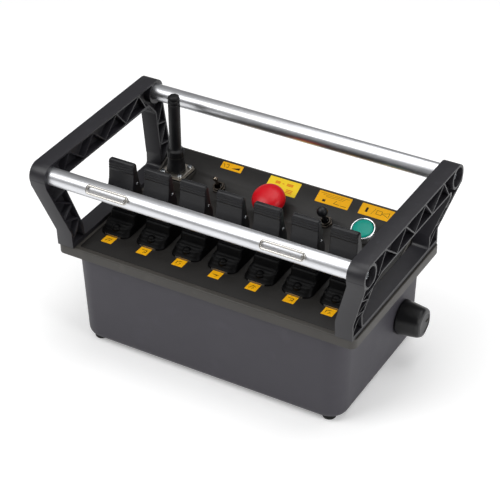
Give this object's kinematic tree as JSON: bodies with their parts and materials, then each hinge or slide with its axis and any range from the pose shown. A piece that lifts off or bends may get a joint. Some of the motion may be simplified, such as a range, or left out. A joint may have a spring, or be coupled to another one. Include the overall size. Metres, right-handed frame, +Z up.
{
  "type": "portable lever control station",
  "caption": "Portable belly-box control station: shallow tub with carrying tubes on side frames, a row of paddle levers, stop button, toggles, push button and stub antenna.",
  "frame": {"origin": "on the floor plane, under the middle of the overall envelope", "axes": "+Z up, +X along the hand tubes to the side with the rotary knob, front with the labels towards -Y"},
  "size_m": [0.408, 0.241, 0.2476],
  "materials": {
    "antenna_rubber": "overmoulded whip",
    "battery_wrap": "shrink wrapped pack",
    "bezel_metal": "satin chromed",
    "board_green": "solder resist",
    "boot_rubber": "moulded nitrile gaiter",
    "button_green": "moulded, satin gloss",
    "chip_black": "moulded packages",
    "collar_grey": "moulded",
    "connector_brass": "nickel plated brass",
    "estop_red": "moulded, satin gloss",
    "fascia_film": "textured polyester overlay",
    "fastener_steel": "zinc plated",
    "flange_zinc": "passivated steel plate",
    "foot_rubber": "moulded rubber",
    "frame_plastic": "glass filled nylon, satin",
    "knob_plastic": "moulded, soft satin",
    "label_yellow": "printed vinyl",
    "lever_plastic": "moulded nylon, satin",
    "lid_plastic": "moulded ABS, fine texture, brown black",
    "module_plastic": "moulded nylon",
    "screen_can": "tinned can",
    "seal_rubber": "neoprene",
    "switch_black": "moulded",
    "toggle_chrome": "nickel plated",
    "tub_plastic": "moulded ABS, fine texture, dark grey",
    "tube_aluminium": "extruded, brushed and clear anodised",
    "wire_stainless": "drawn wire"
  },
  "bodies": {
    "housing": {"antenna": "antenna_rubber", "antenna_flange": "flange_zinc", "antenna_gasket": "seal_rubber", "antenna_screws": "fastener_steel", "antenna_socket": "connector_brass", "bail_brackets": "wire_stainless", "battery": "battery_wrap", "board_chips": "chip_black", "board_posts": "fastener_steel", "board_screws": "fastener_steel", "button_barrel": "switch_black", "button_bezel": "bezel_metal", "button_contacts": "switch_black", "button_nut": "fastener_steel", "circuit_board": "board_green", "estop_barrel": "switch_black", "estop_collar": "collar_grey", "estop_contacts": "switch_black", "estop_nut": "fastener_steel", "fascia": "fascia_film", "feet": "foot_rubber", "frame_screws": "fastener_steel", "front_labels": "label_yellow", "front_tube": "tube_aluminium", "gasket": "seal_rubber", "knob_pot": "switch_black", "left_frame": "frame_plastic", "lever_axles": "fastener_steel", "lever_boots": "boot_rubber", "lever_modules": "module_plastic", "lid": "lid_plastic", "lid_screws": "fastener_steel", "radio_module": "screen_can", "rear_labels": "label_yellow", "rear_tube": "tube_aluminium", "right_frame": "frame_plastic", "toggle_bodies": "switch_black", "toggle_bushings": "toggle_chrome", "toggle_nuts": "fastener_steel", "toggle_pins": "fastener_steel", "tub": "tub_plastic", "tube_plugs": "fastener_steel", "tube_screws": "fastener_steel"},
    "lever_1": {"lever_1": "lever_plastic"},
    "lever_2": {"lever_2": "lever_plastic"},
    "lever_3": {"lever_3": "lever_plastic"},
    "lever_4": {"lever_4": "lever_plastic"},
    "lever_5": {"lever_5": "lever_plastic"},
    "lever_6": {"lever_6": "lever_plastic"},
    "lever_7": {"lever_7": "lever_plastic"},
    "toggle": {"toggle_bat": "toggle_chrome"},
    "selector": {"selector_bat": "knob_plastic"},
    "stop_button": {"estop_head": "estop_red", "estop_stem": "switch_black"},
    "push_button": {"button_cap": "button_green"},
    "volume_knob": {"side_knob": "knob_plastic", "knob_shaft": "fastener_steel"},
    "left_bail": {"left_bail": "wire_stainless"},
    "right_bail": {"right_bail": "wire_stainless"}
  },
  "joints": [
    {"name": "lever_1_tilt", "type": "hinge", "parent": "housing", "child": "lever_1", "pos_m": [-0.1395, -0.031, 0.116], "axis": [1, 0, 0], "range_deg": [-14, 14], "stiffness_Nm_per_rad": 1.2},
    {"name": "lever_2_tilt", "type": "hinge", "parent": "housing", "child": "lever_2", "pos_m": [-0.093, -0.031, 0.116], "axis": [1, 0, 0], "range_deg": [-14, 14], "stiffness_Nm_per_rad": 1.2},
    {"name": "lever_3_tilt", "type": "hinge", "parent": "housing", "child": "lever_3", "pos_m": [-0.0465, -0.031, 0.116], "axis": [1, 0, 0], "range_deg": [-14, 14], "stiffness_Nm_per_rad": 1.2},
    {"name": "lever_4_tilt", "type": "hinge", "parent": "housing", "child": "lever_4", "pos_m": [0, -0.031, 0.116], "axis": [1, 0, 0], "range_deg": [-14, 14], "stiffness_Nm_per_rad": 1.2},
    {"name": "lever_5_tilt", "type": "hinge", "parent": "housing", "child": "lever_5", "pos_m": [0.0465, -0.031, 0.116], "axis": [1, 0, 0], "range_deg": [-14, 14], "stiffness_Nm_per_rad": 1.2},
    {"name": "lever_6_tilt", "type": "hinge", "parent": "housing", "child": "lever_6", "pos_m": [0.093, -0.031, 0.116], "axis": [1, 0, 0], "range_deg": [-14, 14], "stiffness_Nm_per_rad": 1.2},
    {"name": "lever_7_tilt", "type": "hinge", "parent": "housing", "child": "lever_7", "pos_m": [0.1395, -0.031, 0.116], "axis": [1, 0, 0], "range_deg": [-14, 14], "stiffness_Nm_per_rad": 1.2},
    {"name": "toggle_throw", "type": "hinge", "parent": "housing", "child": "toggle", "pos_m": [-0.0805, 0.07411, 0.13602], "axis": [0, 0.91, 0.4147], "range_deg": [-16, 16]},
    {"name": "selector_throw", "type": "hinge", "parent": "housing", "child": "selector", "pos_m": [0.0615, 0.07165, 0.1349], "axis": [0, 0.91, 0.4147], "range_deg": [-16, 16]},
    {"name": "stop_press", "type": "slide", "parent": "housing", "child": "stop_button", "axis": [0, 0.4147, -0.91], "range_m": [0, 0.005]},
    {"name": "button_press", "type": "slide", "parent": "housing", "child": "push_button", "axis": [0, 0.4147, -0.91], "range_m": [0, 0.003], "stiffness_N_per_m": 400, "springref_m": -0.003},
    {"name": "knob_turn", "type": "hinge", "parent": "housing", "child": "volume_knob", "pos_m": [0.17, 0.051, 0.056], "axis": [1, 0, 0], "range_deg": [-140, 140]},
    {"name": "left_bail_lift", "type": "hinge", "parent": "housing", "child": "left_bail", "pos_m": [-0.081, -0.11609, 0.22682], "axis": [0, 0.5, 0.866], "range_deg": [0, 100]},
    {"name": "right_bail_lift", "type": "hinge", "parent": "housing", "child": "right_bail", "pos_m": [0.133, -0.11609, 0.22682], "axis": [0, 0.5, 0.866], "range_deg": [0, 100]}
  ]
}
